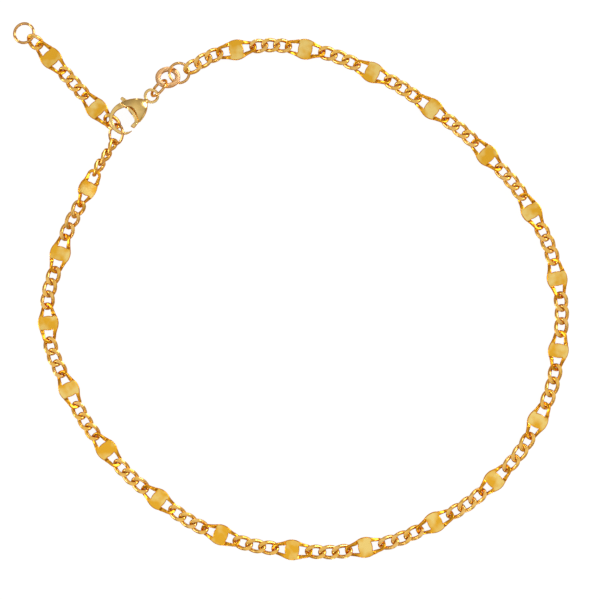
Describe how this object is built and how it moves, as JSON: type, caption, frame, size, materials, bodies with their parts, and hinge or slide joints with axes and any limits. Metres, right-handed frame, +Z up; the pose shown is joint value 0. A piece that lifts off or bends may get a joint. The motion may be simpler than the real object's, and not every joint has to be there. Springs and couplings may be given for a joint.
{
  "type": "chain anklet",
  "caption": "Gold chain anklet of bowed plate links and short curb runs, fastened by a lobster clasp with a tag washer and a short extender.",
  "frame": {"origin": "middle of the whole anklet's outline, on the surface that it lies on", "axes": "+Z up from the surface; +Y towards the clasp and extender side; +X towards the side away from them; the loop lies flat in XY"},
  "size_m": [0.0889, 0.0859, 0.0032],
  "materials": {
    "chain_gold": "polished yellow gold with flat diamond-cut facets",
    "plate_gold": "satin yellow gold with polished rims",
    "clasp_gold": "polished pale gold",
    "ring_gold": "polished rose-tinted gold wire",
    "washer_gold": "matte pinkish gold, bare of any stamp"
  },
  "bodies": {
    "anklet": {"chain_ring": "ring_gold", "clasp_body": "clasp_gold", "clasp_ring": "ring_gold", "curb_run_01": "chain_gold", "curb_run_02": "chain_gold", "curb_run_03": "chain_gold", "curb_run_04": "chain_gold", "curb_run_05": "chain_gold", "curb_run_06": "chain_gold", "curb_run_07": "chain_gold", "curb_run_08": "chain_gold", "curb_run_09": "chain_gold", "curb_run_10": "chain_gold", "curb_run_11": "chain_gold", "curb_run_12": "chain_gold", "curb_run_13": "chain_gold", "curb_run_14": "chain_gold", "curb_run_15": "chain_gold", "curb_run_16": "chain_gold", "curb_run_17": "chain_gold", "curb_run_18": "chain_gold", "curb_run_19": "chain_gold", "curb_run_20": "chain_gold", "curb_run_21": "chain_gold", "curb_run_22": "chain_gold", "curb_run_23": "chain_gold", "end_ring": "ring_gold", "hanger_ring": "ring_gold", "plate_link_01": "plate_gold", "plate_link_02": "plate_gold", "plate_link_03": "plate_gold", "plate_link_04": "plate_gold", "plate_link_05": "plate_gold", "plate_link_06": "plate_gold", "plate_link_07": "plate_gold", "plate_link_08": "plate_gold", "plate_link_09": "plate_gold", "plate_link_10": "plate_gold", "plate_link_11": "plate_gold", "plate_link_12": "plate_gold", "plate_link_13": "plate_gold", "plate_link_14": "plate_gold", "plate_link_15": "plate_gold", "plate_link_16": "plate_gold", "plate_link_17": "plate_gold", "plate_link_18": "plate_gold", "plate_link_19": "plate_gold", "plate_link_20": "plate_gold", "plate_link_21": "plate_gold", "plate_link_22": "plate_gold", "tag_washer": "washer_gold"},
    "lever": {"clasp_lever": "clasp_gold"}
  },
  "joints": [
    {"name": "lever_hinge", "type": "hinge", "parent": "anklet", "child": "lever", "pos_m": [-0.02583, 0.0297, 0.00139], "axis": [0.0616, 0.0616, 0.9962], "range_deg": [-16, 0], "stiffness_Nm_per_rad": 0.001}
  ]
}
